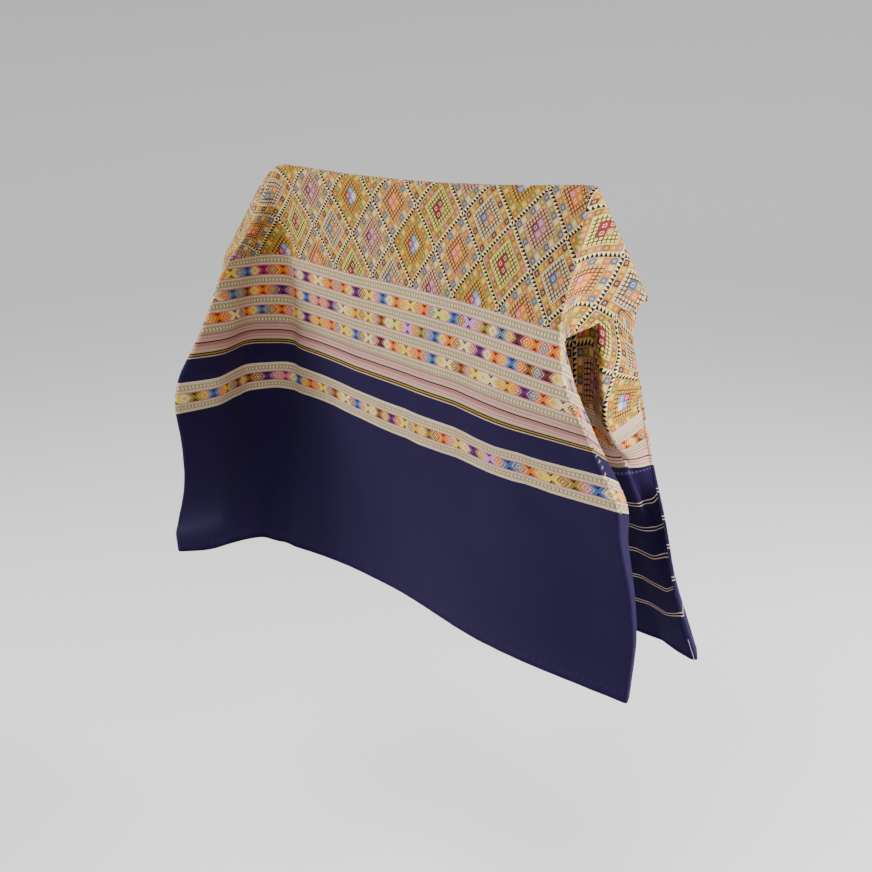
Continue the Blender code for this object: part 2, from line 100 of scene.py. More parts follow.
# Here a row holds one drop below the ridge.  A _y, and a column without an ending, is how
# far out from the rail's plane: forwards in FRONT and backwards in BACK.
FRONT_COLUMNS = (
    "drop crease_x crease_y turn_x turn_y mid_x mid_y valley_x valley_y "
    "quarter middle third near edge_x edge_y strip_x strip_y strip_fall").split()
FRONT = [
    (0, -262, 13, -242, 10, -228, 9, -212, 9, 9, 9, 9, 9, 228, 9, 232, 48, 18),
    (55, -243, 45, -238, 30, -235, 18, -224, 12, 17, 24, 38, 45, 242, 47, 232, 48, 18),
    (120, -239, 97, -236, 72, -240, 40, -229, 14, 24, 40, 62, 79, 258, 92, 232, 48, 18),
    (160, -240, 118, -232, 88, -247, 46, -229, 13, 22, 42, 69, 89, 274, 107, 255, 56, 22),
    (200, -236, 145, -226, 106, -252, 48, -229, 13, 18, 42, 72, 94, 296, 106, 290, 70, 22),
    (240, -238, 172, -220, 126, -254, 62, -228, 13, 20, 46, 77, 98, 306, 90, 304, 57, 18),
    (270, -243, 178, -230, 122, -260, 58, -238, 15, 16, 48, 75, 86, 318, 80, 314, 50, 14),
    (320, -239, 177, -232, 120, -262, 60, -243, 19, 15, 44, 67, 76, 319, 66, 316, 44, 10),
    (380, -240, 178, -236, 125, -266, 70, -250, 26, 16, 36, 60, 66, 325, 50, 322, 35, 6),
    (440, -263, 178, -250, 128, -276, 78, -258, 34, 18, 31, 56, 59, 330, 44, 326, 31, 3),
    (480, -306, 156, -280, 122, -279, 80, -263, 39, 20, 29, 54, 57, 329, 45, 325, 32, 1),
    (507, -314, 150, -285, 118, -281, 80, -267, 43, 22, 28, 52, 54, 328, 45, 324, 33, 0),
]
BACK_COLUMNS = (
    "drop side_x side_y turn_x turn_y mid_x mid_y valley_x valley_y quarter middle third near "
    "edge_x edge_y strip_x strip_y seam_x seam_y bend_x bend_y fold_x fold_y").split()
BACK = [
    (0, -335, 7, -242, 9, -228, 9, -212, 9, 9, 9, 9, 9, 227, 9, 230, 24, 244, 66, 227, 6.7,
     232, 21),
    (55, -334, 34, -262, 20, -240, 15, -222, 12, 18, 22, 23, 23, 224, 24, 231, 36, 246, 56,
     227, 7, 234.5, 15.5),
    (125, -332, 62, -278, 38, -250, 24, -228, 14, 26, 36, 38, 39, 226, 41, 237, 46, 255, 52,
     228, 7.5, 235.5, 10),
    (165, -333, 78, -282, 50, -252, 29, -229, 14, 28, 41, 44, 46, 232, 50, 245, 52, 260, 54,
     230, 7.5, 248, -2),
    (220, -330, 98, -286, 66, -256, 36, -230, 15, 30, 46, 52, 56, 240, 62, 252, 62, 265, 58,
     236, 10, 264, -16),
    (290, -330, 116, -290, 80, -258, 46, -234, 17, 34, 52, 62, 70, 248, 80, 264, 79, 276, 70,
     244, 36, 266, 34),
    (360, -332, 124, -294, 90, -266, 54, -240, 22, 38, 56, 70, 82, 262, 94, 283, 88, 298, 70,
     256, 64, 279, 60),
    (430, -336, 122, -302, 88, -272, 58, -246, 28, 42, 58, 78, 94, 280, 106, 303, 94, 318, 68,
     268, 78, 294, 70),
    (500, -342, 112, -312, 82, -280, 62, -252, 34, 46, 62, 84, 100, 310, 106, 335, 92, 349, 67,
     300, 78, 326, 68),
]
# How far the inner layer's middle surface lies from the outer one's, station by station.
GAP_COLUMNS = ("drop",) + STATIONS
FRONT_GAP = [
    (0, 6, 3.4, 2.8, 2.4, 2.4, 2.4, 2.4, 2.4, 2.4, 2.6, 3.4, 6),
    (120, 6, 3.6, 3.6, 3.4, 3, 4, 6, 8, 8, 3.6, 3.6, 6),
    (240, 6, 4.6, 4.6, 4, 3.2, 6, 12, 20, 24, 10, 4, 6),
    (380, 6, 5, 6, 4.4, 3.6, 6, 12, 20, 20, 12, 4, 6),
    (507, 6, 5, 9, 5.4, 4, 6, 10, 16, 16, 12, 4, 6),
]
BACK_GAP = [
    (0, 6, 3.4, 2.8, 2.4, 2.4, 2.4, 2.4, 2.4, 2.4, 2.6, 3.4, 6),
    (125, 6, 4, 4, 3.6, 3.4, 12, 20, 26, 30, 36, 6, 6),
    (290, 6, 6, 6, 4.4, 4, 12, 24, 30, 32, 30, 6, 6),
    (500, 6, 6, 6, 5, 4.4, 12, 20, 26, 26, 24, 6, 6),
]


def smooth(share):
    """0 to 1 with level ends."""
    share = np.clip(share, 0.0, 1.0)
    return share * share * (3 - 2 * share)


def blend(a, b, share):
    return a + (b - a) * share


def unit(v):
    return v / np.linalg.norm(v)


def read(table, columns, drop):
    """The table's row at one drop, as a dict, on a smooth curve through its rows."""
    rows = np.array(table) / 1000
    drops = rows[:, 0]
    slopes = np.gradient(rows, drops, axis=0)
    i = int(np.clip(np.searchsorted(drops, drop) - 1, 0, len(drops) - 2))
    span = drops[i + 1] - drops[i]
    t = min(1.0, max(0.0, (drop - drops[i]) / span))
    value = ((1 + 2 * t) * (1 - t) ** 2 * rows[i] + t * (1 - t) ** 2 * span * slopes[i]
             + t * t * (3 - 2 * t) * rows[i + 1] + t * t * (t - 1) * span * slopes[i + 1])
    return dict(zip(columns, value))


def droop(station, drop, fades):
    """Height of a station past the rail's end: it starts from the drooping ridge."""
    return -drop + PLACE[station][2] / 1000 * max(0.0, 1 - drop / fades[station])


def panel_point(station, out, drop, side):
    """A point of the panel that hangs from the rail."""
    x = PLACE[station][0] / 1000
    dip = RIDGE_SAG * (1 - (x / RAIL_HALF) ** 2) * max(0.0, 1 - drop / SAG_FADE)
    return np.array([x, side * out, -drop - dip])


def ridge_corners(side, gaps):
    """Corners of one side of the ridge, station by station."""
    corners = []
    for station, gap in zip(STATIONS, gaps):
        place = PLACE[station] / 1000
        place[2] -= RIDGE_SAG * max(0.0, 1 - (place[0] / RAIL_HALF) ** 2)
        radius = END_RADIUS.get(station, RIDGE_RADIUS) - gap
        corners.append(place - side * FOOT_WAY[station] * radius + UP[station] * (RIDGE_TOP - gap))
    return np.array(corners)


RIDGE_START = dict(zip(STATIONS, ridge_corners(-1, [0.0] * len(STATIONS))))


def corner(row, station, side, height):
    """The corner that a table's row gives for a station."""
    return np.array([row[station + "_x"], side * row[station + "_y"], height])


def hanging_corners(row, drop, side):
    """The corners from mid to near, which hang from the rail."""
    return ([corner(row, "mid", side, -drop), corner(row, "valley", side, -drop)]
            + [panel_point(name, row[name], drop, side) for name in HUNG])


def front_corners(drop):
    """Outer layer in front: the corners round one section."""
    row = read(FRONT, FRONT_COLUMNS, drop)
    crease, turn = (corner(row, name, -1, droop(name, drop, FRONT_FADE)) for name in FRONT_FADE)
    side = crease + LEFT_RETURN
    if drop < LEFT_PLEAT_DROP:
        low = read(FRONT, FRONT_COLUMNS, LEFT_PLEAT_DROP)
        foot = corner(low, "crease", -1, -LEFT_PLEAT_DROP) + LEFT_RETURN
        share = drop / LEFT_PLEAT_DROP
        side = blend(RIDGE_START["side"], foot, share)
        side[0] += END_FACE_HOLLOW * 4 * share * (1 - share)
    edge = corner(row, "edge", -1, -drop)
    share = drop / RIGHT_PLEAT_DROP
    if share < 1:
        seam = blend(RIDGE_START["seam"], RIGHT_PLEAT, share)
        low = read(FRONT, FRONT_COLUMNS, RIGHT_PLEAT_DROP)
        edge_foot = corner(low, "edge", -1, -RIGHT_PLEAT_DROP)
        strip_foot = blend(RIGHT_PLEAT, edge_foot, STRIP_SHARE[0])
        strip = blend(RIDGE_START["strip"], strip_foot, share)
    else:
        seam = corner(row, "strip", -1, -drop - row["strip_fall"])
        past = smooth((drop - RIGHT_PLEAT_DROP) / STRIP_SPAN)
        strip = blend(seam, edge, blend(*STRIP_SHARE, past))
    return np.array([side, crease, turn, *hanging_corners(row, drop, -1), edge, strip, seam])


def back_corners(drop):
    """Outer layer behind: the corners round one section."""
    row = read(BACK, BACK_COLUMNS, drop)
    side, turn, strip, seam = (corner(row, name, 1, droop(name, drop, BACK_FADE))
                               for name in BACK_FADE)
    crease = blend(side, turn, blend(*BACK_CREASE_SHARE, smooth(drop / BACK_CREASE_SPAN)))
    edge = corner(row, "edge", 1, -drop)
    return np.array([side, crease, turn, *hanging_corners(row, drop, 1), edge, strip, seam])


def inset(corners, gaps, side):
    """The corners moved towards the inner layer, square to the section in plan."""
    steps = np.diff(corners[:, :2], axis=0)
    steps /= np.linalg.norm(steps, axis=1)[:, None]
    normals = np.column_stack([side * steps[:, 1], -side * steps[:, 0]])
    moved = corners.copy()
    for i, gap in enumerate(gaps):
        before = normals[max(i - 1, 0)]
        after = normals[min(i, len(normals) - 1)]
        mitre = (before + after) / max(SHARPEST, 1 + before @ after)
        moved[i, :2] += mitre * gap
    return moved


def inner_corners(outer, drop, side):
    """Inner layer: the corners round one section, inside the outer layer's."""
    table = FRONT_GAP if side < 0 else BACK_GAP
    gaps = read(table, GAP_COLUMNS, drop)
    inner = dict(zip(STATIONS, inset(outer, [gaps[name] for name in STATIONS], side)))
    if side < 0:
        lean = min(1.0, 2 * max(0.0, 1 - drop / LEFT_PLEAT_DROP))
        inner["side"][2] -= END_FACE_LEAN * lean
        inner["crease"][2] -= END_FACE_LEAN * lean
        for name, end, beside, pleat_drop in (("crease", "side", "turn", LEFT_PLEAT_DROP),
                                              ("strip", "seam", "edge", RIGHT_PLEAT_DROP)):
            relaxed = blend(inner[end], inner[beside], RELAX_SHARE)
            past = smooth((drop - pleat_drop) / RELAX_SPAN)
            inner[name] = blend(inner[name], relaxed, past)
    else:
        row = read(BACK, BACK_COLUMNS, drop)
        inner["edge"][:2] = row["bend_x"], row["bend_y"]
        inner["strip"][:2] = row["fold_x"], row["fold_y"]
    return np.array(list(inner.values()))


def close_ends(corners, other):
    """Adds the turned edge at each end, up to the middle between the two layers."""
    ends = []
    for i in (0, -1):
        way = unit(other[i] - corners[i])
        middle = (corners[i] + other[i]) / 2
        ends.append(middle - way * SEAM_GAP / 2)
    return np.vstack([ends[0], corners, ends[1]])


def round_section(corners):
    """Fine points round one section: its corners eased, with steps on the spans between."""
    points = [corners[0]]
    for i, name in enumerate(STATIONS, start=1):
        here = corners[i]
        before = corners[i - 1] - here
        after = corners[i + 1] - here
        ease = EASE[name] / 1000
        start = here + before * min(LONGEST_EASE, ease / np.linalg.norm(before))
        end = here + after * min(LONGEST_EASE, ease / np.linalg.norm(after))
        last = points[-1]
        for k in range(1, STEPS[name]):
            points.append(blend(last, start, k / STEPS[name]))
        for k in range(CORNER_STEPS[name] + 1):
            t = k / CORNER_STEPS[name]
            points.append((1 - t) ** 2 * start + 2 * t * (1 - t) * here + t * t * end)
    last = points[-1]
    for k in range(1, END_STEPS + 1):
        points.append(blend(last, corners[-1], k / END_STEPS))
    return np.array(points)


def layer_pair(drop, side):
    """Rounded sections of the outer and the inner layer at one drop."""
    outer = front_corners(drop) if side < 0 else back_corners(drop)
    inner = inner_corners(outer, drop, side)
    return round_section(close_ends(outer, inner)), round_section(close_ends(inner, outer))


def ridge_pair(side):
    """The same at the ridge, for one side of its rounding."""
    gaps = list(read(FRONT_GAP, GAP_COLUMNS, 0.0).values())[1:]
    outer = ridge_corners(side, [0.0] * len(STATIONS))
    inner = ridge_corners(side, gaps)
    return round_section(close_ends(outer, inner)), round_section(close_ends(inner, outer))


ROW_STEP = 0.0065
RIDGE_SHARES = np.linspace(0.0, 1.0, 7)[:-1]


def drops_from(start, end):
    """The drops of the rows from one height to another."""
    return np.linspace(start, end, int(abs(end - start) / ROW_STEP) + 1)


front_drops = drops_from(FRONT_DROP, RIDGE_EASE)
foot_back_drops = drops_from(RIDGE_EASE, JOIN_DROP)
body_drops = drops_from(JOIN_DROP + SEAM_GAP, BACK_DROP)
RIDGE_ROW = len(front_drops) + len(RIDGE_SHARES) - 1
foot_rows = RIDGE_ROW + len(RIDGE_SHARES) + len(foot_back_drops)


def over_ridge(start, crown, top):
    """Rows that round one side of the ridge, from the hanging cloth up to its top."""
    return [(1 - t) ** 2 * start + 2 * t * (1 - t) * crown + t * t * top for t in RIDGE_SHARES]


def sheets():
    """The outer and the inner layer as grids of points, from foot hem to waist edge."""
    fronts = [layer_pair(drop, -1) for drop in front_drops[:-1]]
    backs = [layer_pair(drop, 1) for drop in np.concatenate([foot_back_drops[1:], body_drops])]
    starts = layer_pair(RIDGE_EASE, -1), layer_pair(RIDGE_EASE, 1)
    crowns = ridge_pair(-1), ridge_pair(1)
    layers = []
    for k in (0, 1):
        top = (crowns[0][k] + crowns[1][k]) / 2
        up, down = (over_ridge(start[k], crown[k], top) for start, crown in zip(starts, crowns))
        grid = np.array([row[k] for row in fronts] + up + [top] + down[::-1]
                        + [row[k] for row in backs])
        grid[:, :, 2] += RIDGE_SAG
        layers.append(grid)
    return layers


def station_column(name):
    """Index of the grid column in the middle of a station's corner."""
    count = 0
    for station in STATIONS:
        count += STEPS[station] - 1
        if station == name:
            return 1 + count + CORNER_STEPS[station] // 2
        count += CORNER_STEPS[station] + 1


def grid_normals(grid):
    """Unit normals of a grid of points, towards the rail, each the mean of its quads."""
    quad = np.cross(grid[1:, 1:] - grid[:-1, :-1], grid[:-1, 1:] - grid[1:, :-1])
    quad /= np.linalg.norm(quad, axis=2)[:, :, None]
    total = sum(np.pad(quad, ((r, 1 - r), (c, 1 - c), (0, 0))) for c in (0, 1) for r in (0, 1))
    return total / np.linalg.norm(total, axis=2)[:, :, None]


# Places in the weave.  ACROSS is measured along the weft from the left fold, ALONG down the
# warp: 0 at the ridge's left end, foot end positive, waist end negative.
MIDDLE_ACROSS = 0.360
BAND_TOP = 0.114           # the patterned bands start here, level all along the front


def weave_places(grid, drops):
    """Across and along for every point of one layer."""
    steps = np.linalg.norm(np.diff(grid, axis=1), axis=2)
    across = np.pad(np.cumsum(steps, axis=1), ((0, 0), (1, 0)))
    across += MIDDLE_ACROSS - across[:, [station_column("middle")]]
    lengths = np.linalg.norm(np.diff(grid, axis=0), axis=2)
    down = np.pad(np.cumsum(lengths, axis=0), ((1, 0), (0, 0)))
    band = int(np.argmin(np.abs(drops - BAND_TOP)))
    join = int(np.argmin(np.abs(drops + JOIN_DROP)))
    along = np.repeat(drops[:, None], grid.shape[1], axis=1)
    below = slice(band + 1, join + 1)
    along[below] = drops[band] - (down[below] - down[band])
    spare = along[join] + JOIN_DROP
    for r in range(RIDGE_ROW + 1, join + 1):
        along[r] -= spare * (r - RIDGE_ROW) / (join - RIDGE_ROW)
    return across, along


ridge_down = np.linspace(RIDGE_EASE, 0.0, len(RIDGE_SHARES) + 1)
row_drops = np.concatenate([front_drops[:-1], ridge_down, -ridge_down[::-1][1:],
                            -foot_back_drops[1:], -body_drops])
grids = sheets()
normals = [grid_normals(grid) for grid in grids]
places = [weave_places(grid, row_drops) for grid in grids]
for end in (0, -1):
    shared = normals[0][:, end] - normals[1][:, end]
    shared /= np.linalg.norm(shared, axis=1)[:, None]
    normals[0][:, end] = shared
    normals[1][:, end] = -shared


# The woven bands don't hang quite straight.  A row holds a place across, and how much lower
# than straight they run there: on the front where the bands and the indigo start, and at the
# gold band.
SWAY_AT = dict(start=0.1145, indigo=0.2265, gold=0.2670)
SWAY = [
    (60, -9.5, -6.5, 1),
    (180, -5.5, 1.5, 2.5),
    (280, -1, 4.5, 5.5),
    (380, -0.5, 2.5, 3),
    (480, 0.5, -2.5, -3),
    (600, 4.5, -4.5, -1.5),
]
# The same for the inner half behind, at four white lines, the join and the bands' start.
SWAY_BEHIND_AT = dict(line_4=-0.4135, line_3=-0.3780, line_2=-0.3470, line_1=-0.3175,
                      join=-0.2900, start=-0.2215)
SWAY_BEHIND = [
    (600, -18.5, -18, -18, -18, 0, -4),
    (630, -18.5, -18, -18, -18, 0, -0.5),
    (647, -18.5, -18, -15, -9, 0, 3),
    (657, -18.5, -10.5, -5, 0, 0, 5),
    (667, -18.5, -4, 0, 0, 0, 7),
    (685, 0, 0, 0, 0, 0, 12),
    (697, 0, 0, 0, 0, 0, 16),
]
SWAY_BEGINS, SWAY_BEHIND_BEGINS = -0.05, -0.50
SWAY_FADE = 0.12


def sway(across, along, table, at, begins):
    """How far the woven bands hang off straight at every point."""
    columns = dict(zip(("across", *at), np.array(table).T / 1000))
    shifts = [np.interp(across, columns["across"], columns[name]) for name in at]
    heights = list(at.values())
    out = np.zeros_like(across)
    for k in range(len(heights) - 1):
        share = (along - heights[k]) / (heights[k + 1] - heights[k])
        inside = (share >= 0) & (share < 1)
        out = np.where(inside, shifts[k] + (shifts[k + 1] - shifts[k]) * share, out)
    first = shifts[0] * smooth((along - begins) / (heights[0] - begins))
    last = shifts[-1] * (1 - smooth((along - heights[-1]) / SWAY_FADE))
    return np.where(along < heights[0], first, np.where(along >= heights[-1], last, out))


# The diamond lattice, counted in repeats from one diamond in the middle of the front.
REPEAT_ACROSS = 0.0712
REPEAT_ALONG = 0.0838
LATTICE_ACROSS = 0.4518
LATTICE_ALONG = 0.0682
LATTICE_SKEW = 0.21        # the cloth hangs sheared: each diamond further down lies to the right
# Beyond the front's right edge, and on the inner half behind, the cloth is gathered into
# pleats, so the lattice runs on turned.  A row holds one diamond: across, along, and its
# counts across and along.
FLAP = [(0.6292, 0.0639, 3.5, -0.5), (0.6243, 0.0058, 3.0, -1.0), (0.6933, 0.0243, 4.0, -1.0)]
GUSSET = [(0.5965, -0.1248, 3.5, -2.5), (0.5980, -0.1962, 4.0, -3.0), (0.6600, -0.1150, 3.0, -3.0)]


def lattice_place(across, along, lowered):
    """Where each point lies in the lattice, in repeats."""
    fall = along - lowered
    u = (across - LATTICE_SKEW * (fall - LATTICE_ALONG) - LATTICE_ACROSS) / REPEAT_ACROSS
    return np.stack([u, (fall - LATTICE_ALONG) / REPEAT_ALONG], axis=-1)


def turned_place(across, along, diamonds):
    """The same, from three neighbouring diamonds."""
    places, counts = np.split(np.array(diamonds), 2, axis=1)
    per_metre = np.linalg.solve(places[1:] - places[0], counts[1:] - counts[0])
    offset = np.stack([across - places[0, 0], along - places[0, 1]], axis=-1) @ per_metre
    return counts[0] + offset


# Soft creases left by folding and wearing: layer (1 is the inner one, 2 both), then from and
# to places in the weave, half width, and depth towards the rail.
CREASE_COLUMNS = "across_1 along_1 across_2 along_2 width depth".split()
CREASES = [
    (2, 151.5, -60, 131, 660, 11, 4.2),
    (2, 372, 190, 384, 330, 16, 3),
    (2, 575, 225, 590, 330, 18, 2.6),
    (2, 470, 150, 500, 440, 30, 2),
    (2, 250, 230, 262, 500, 22, -2.2),
    (2, 330, 300, 345, 500, 26, 1.8),
    (2, 640, 280, 632, 500, 22, 2.4),
    (2, 60, 200, 50, 460, 12, -2.2),
    (2, 20, 300, 62, 470, 10, 1.6),
    (2, 225, 20, 300, 75, 12, 1.2),
    (2, 560, 20, 500, 80, 16, -1.4),
    (2, 300, -60, 320, -300, 24, 2.6),
    (2, 450, -80, 430, -420, 28, -2.6),
    (2, 560, -160, 600, -480, 22, 2.6),
    (2, 120, -120, 90, -400, 20, 2.4),
    (2, 210, -260, 230, -500, 22, -2),
    (1, 615, -250, 650, -372, 12, -9),
    (1, 640, -340, 690, -440, 12, -9),
]
CREASE_TAPER = 0.25        # share of its length over which a crease fades at each end
GRAIN = 0.00025            # the hand-woven cloth is never quite flat
GRAIN_ACROSS, GRAIN_ALONG = 190, 130
GRAIN_BEND, GRAIN_DRIFT = 45, 21


def crease_depth(layer, across, along):
    """How far every point is pressed in from its smooth sheet."""
    out = np.zeros_like(across)
    for creased, *sizes in CREASES:
        if creased not in (2, layer):
            continue
        s = dict(zip(CREASE_COLUMNS, np.array(sizes) / 1000))
        way = np.array([s["across_2"] - s["across_1"], s["along_2"] - s["along_1"]])
        length = np.linalg.norm(way)
        way /= length
        du, dv = across - s["across_1"], along - s["along_1"]
        t = (du * way[0] + dv * way[1]) / length
        off = du * way[1] - dv * way[0]
        fade = smooth(t / CREASE_TAPER) * smooth((1 - t) / CREASE_TAPER)
        out += s["depth"] * fade * np.exp(-(off / s["width"]) ** 2)
    waves = np.sin(across * GRAIN_ACROSS + 3 * np.sin(along * GRAIN_BEND))
    out += GRAIN * waves * np.sin(along * GRAIN_ALONG + across * GRAIN_DRIFT)
    return out


# The flap's turned lattice comes in and goes out over these stretches along.
FLAP_IN, FLAP_OUT = (-0.10, 0.09), (0.10, 0.04)
STILL_COLUMNS = 8          # creases die away towards the tube's fold and seam
EDGE = station_column("edge")
weaves, patterns, turned, turned_faces = [], [], [], []
for layer, (across, along) in enumerate(places):
    count, width = across.shape
    lowered = sway(across, along, SWAY, SWAY_AT, SWAY_BEGINS)
    patterns.append(lattice_place(across, along, lowered))
    if layer == 0:
        share = smooth((along - FLAP_IN[0]) / FLAP_IN[1])
        share *= 1 - smooth((along - FLAP_OUT[0]) / FLAP_OUT[1])
        flap = turned_place(across, along, FLAP)
        turned.append(patterns[0] + (flap - patterns[0]) * share[:, :, None])
        is_turned = np.arange(width - 1) >= EDGE
    else:
        behind = np.arange(count) >= RIDGE_ROW
        low_behind = sway(across, along, SWAY_BEHIND, SWAY_BEHIND_AT, SWAY_BEHIND_BEGINS)
        lowered = np.where(behind[:, None], low_behind, lowered)
        turned.append(turned_place(across, along, GUSSET))
        is_turned = behind[:-1, None]
    turned_faces.append(np.broadcast_to(is_turned, (count - 1, width - 1)))
    weaves.append(np.stack([across, along - lowered], axis=-1))
    depth = crease_depth(layer, across, along)
    still = smooth(np.minimum(np.arange(width), np.arange(width)[::-1]) / STILL_COLUMNS)
    grids[layer] += normals[layer] * (depth * still)[:, :, None]


def add_object(name, data):
    """A new object in the scene."""
    obj = bpy.data.objects.new(name, data)
    bpy.context.scene.collection.objects.link(obj)
    return obj


def add_map(mesh, name, places):
    """Lays a map of two numbers for each corner on the mesh."""
    mesh.uv_layers.new(name=name).data.foreach_set("uv", places.ravel())


# The map for painting keeps the inside large and the outside smaller, each from its foot up
# by its height, and the rim in one line.
MAP_EDGE = 0.01
FIRST_TALL = 0.60
SECOND_FOOT, SECOND_TALL = 0.63, 0.33
RIM_FOOT, RIM_TALL, RIM_LONG = 0.975, 0.015, 0.9


def cloth_object(name, layer, rows, material):
    """A closed shell of cloth.  Its map "weave" holds across and along, "pattern" the lattice."""
    grid = grids[layer][rows]
    normal = normals[layer][rows]
    count, width = grid.shape[:2]
    verts = np.concatenate([(grid + normal * WALL / 2).reshape(-1, 3),
                            (grid - normal * WALL / 2).reshape(-1, 3)])
    index = np.arange(count * width).reshape(count, width)
    a = index[:-1, :-1].ravel()
    quads = np.column_stack([a, a + 1, a + width + 1, a + width])
    ring = np.concatenate([index[:, 0], index[-1, 1:], index[-2::-1, -1], index[0, -2:0:-1]])
    following = np.roll(ring, -1)
    half = count * width
    edge = np.column_stack([following, ring, ring + half, following + half])
    faces = np.concatenate([quads[:, ::-1], quads + half, edge[:, ::-1]])
    mesh = bpy.data.meshes.new(name)
    mesh.from_pydata(verts.tolist(), [], faces.tolist())
    corners = faces.ravel() % half
    add_map(mesh, "weave", weaves[layer][rows].reshape(-1, 2)[corners])
    turn = turned_faces[layer][rows][:count - 1].ravel()
    turn = np.repeat(np.concatenate([turn, turn, np.zeros(len(edge), dtype=bool)]), 4)
    plain = patterns[layer][rows].reshape(-1, 2)[corners]
    other = turned[layer][rows].reshape(-1, 2)[corners]
    add_map(mesh, "pattern", np.where(turn[:, None], other, plain))
    i, j = np.divmod(corners, width)
    flat = np.column_stack([MAP_EDGE + (1 - 2 * MAP_EDGE) * j / (width - 1),
                            MAP_EDGE + FIRST_TALL * i / (count - 1)])
    second = slice(4 * len(quads), 8 * len(quads))
    flat[second, 1] = SECOND_FOOT + SECOND_TALL * i[second] / count
    step = RIM_LONG / len(edge)
    box = np.array([[1, 1], [1, 0], [0, 0], [0, 1]])
    rim_map = np.stack([(np.arange(len(edge)) * step)[:, None] + box[:, 0] * step,
                        np.tile(RIM_FOOT + RIM_TALL * box[:, 1], (len(edge), 1))], axis=2)
    flat[second.stop:] = rim_map.reshape(-1, 2)
    add_map(mesh, "OFBake", flat)
    mesh.shade_smooth()
    mesh.materials.append(material)
    return add_object(name, mesh)


class Shade:
    """A number in a material.  Sums on it add math nodes."""

    def __init__(self, socket):
        self.socket = socket

    def op(self, kind, *others):
        tree = self.socket.id_data
        node = tree.nodes.new("ShaderNodeMath")
        node.operation = kind
        for slot, value in zip(node.inputs, (self,) + others):
            if isinstance(value, Shade):
                tree.links.new(value.socket, slot)
            else:
                slot.default_value = value
        return Shade(node.outputs[0])

    def __add__(self, other):
        return self.op("ADD", other)

    def __sub__(self, other):
        return self.op("SUBTRACT", other)

    def __mul__(self, other):
        return self.op("MULTIPLY", other)

    def __gt__(self, other):
        return self.op("GREATER_THAN", other)

    def __lt__(self, other):
        return self.op("LESS_THAN", other)

    def size(self):
        return self.op("ABSOLUTE")

    def floor(self):
        return self.op("FLOOR")

    def nearest(self):
        return (self + 0.5).floor()

    def wrap(self, period):
        """The rest after whole periods, from 0 up to the period."""
        return self.op("FLOORED_MODULO", period)

    def between(self, low, high):
        return (self > low) * (self < high)


def dye(red, green, blue):
    """A thread's colour, from the 0 to 255 values a paint chart gives."""
    shares = np.array([red, green, blue]) / 255
    linear = np.where(shares <= 0.04045, shares / 12.92, ((shares + 0.055) / 1.055) ** 2.4)
    return (*[float(v) for v in linear], 1.0)


def lay(under, *overs):
    """Colours laid over one another, each where its mask is 1."""
    for over, mask in overs:
        tree = mask.socket.id_data
        node = tree.nodes.new("ShaderNodeMix")
        node.data_type = "RGBA"
        tree.links.new(mask.socket, node.inputs["Factor"])
        colour_slots = [slot for slot in node.inputs if slot.type == "RGBA"]
        for slot, value in zip(colour_slots, (under, over)):
            if isinstance(value, tuple):
                slot.default_value = value
            else:
                tree.links.new(value, slot)
        under = next(slot for slot in node.outputs if slot.type == "RGBA")
    return under


def steps(value, stops):
    """Colours laid side by side: each stop is the value where it starts, and its colour."""
    tree = value.socket.id_data
    ramp = tree.nodes.new("ShaderNodeValToRGB")
    ramp.color_ramp.interpolation = "CONSTANT"
    low, high = stops[0][0], stops[-1][0] + 1e-6
    parts = ramp.color_ramp.elements
    parts[1].position = 1.0
    parts[0].color = stops[0][1]
    parts[1].color = stops[-1][1]
    for start, colour in stops[1:-1]:
        parts.new((start - low) / (high - low)).color = colour
    tree.links.new(((value - low) * (1 / (high - low))).socket, ramp.inputs[0])
    return ramp.outputs[0]


def pick(index, colours):
    """One colour for each whole number from 0."""
    stops = [(k - 0.5, colour) for k, colour in enumerate(colours)]
    return steps(index, stops + [(len(colours) - 0.5, colours[-1])])


def map_place(tree, name):
    """The two numbers of one of the cloth's maps."""
    place = tree.nodes.new("ShaderNodeUVMap")
    place.uv_map = name
    split = tree.nodes.new("ShaderNodeSeparateXYZ")
    tree.links.new(place.outputs[0], split.inputs[0])
    return Shade(split.outputs[0]), Shade(split.outputs[1])


CREAM = dye(234, 212, 150)
PALE = dye(220, 198, 168)
GOLD = dye(222, 160, 52)
YELLOW = dye(232, 200, 70)
ORANGE = dye(226, 116, 44)
BROWN = dye(142, 88, 42)
PINK = dye(206, 112, 128)
MAGENTA = dye(168, 44, 92)
PURPLE = dye(98, 44, 100)
MAROON = dye(104, 46, 58)
LILAC = dye(194, 132, 198)
BLUE = dye(66, 100, 156)
STEEL = dye(92, 112, 140)
GREEN = dye(206, 204, 96)
OLIVE = dye(150, 122, 50)
TAUPE = dye(168, 156, 132)
ROSE = dye(190, 136, 132)
BLACK = dye(34, 28, 28)
INDIGO = dye(36, 27, 62)


def set_inputs(node, values):
    """Sets a node's inputs to plain values."""
    for name, value in values.items():
        node.inputs[name].default_value = value


def new_material(name):
    """A material, its node tree and its shader."""
    material = bpy.data.materials.new(name)
    material.use_nodes = True
    return material, material.node_tree, material.node_tree.nodes["Principled BSDF"]


foot_material, tree, foot_shader = new_material("brocade")
across, along = map_place(tree, "weave")
count_across, count_along = map_place(tree, "pattern")

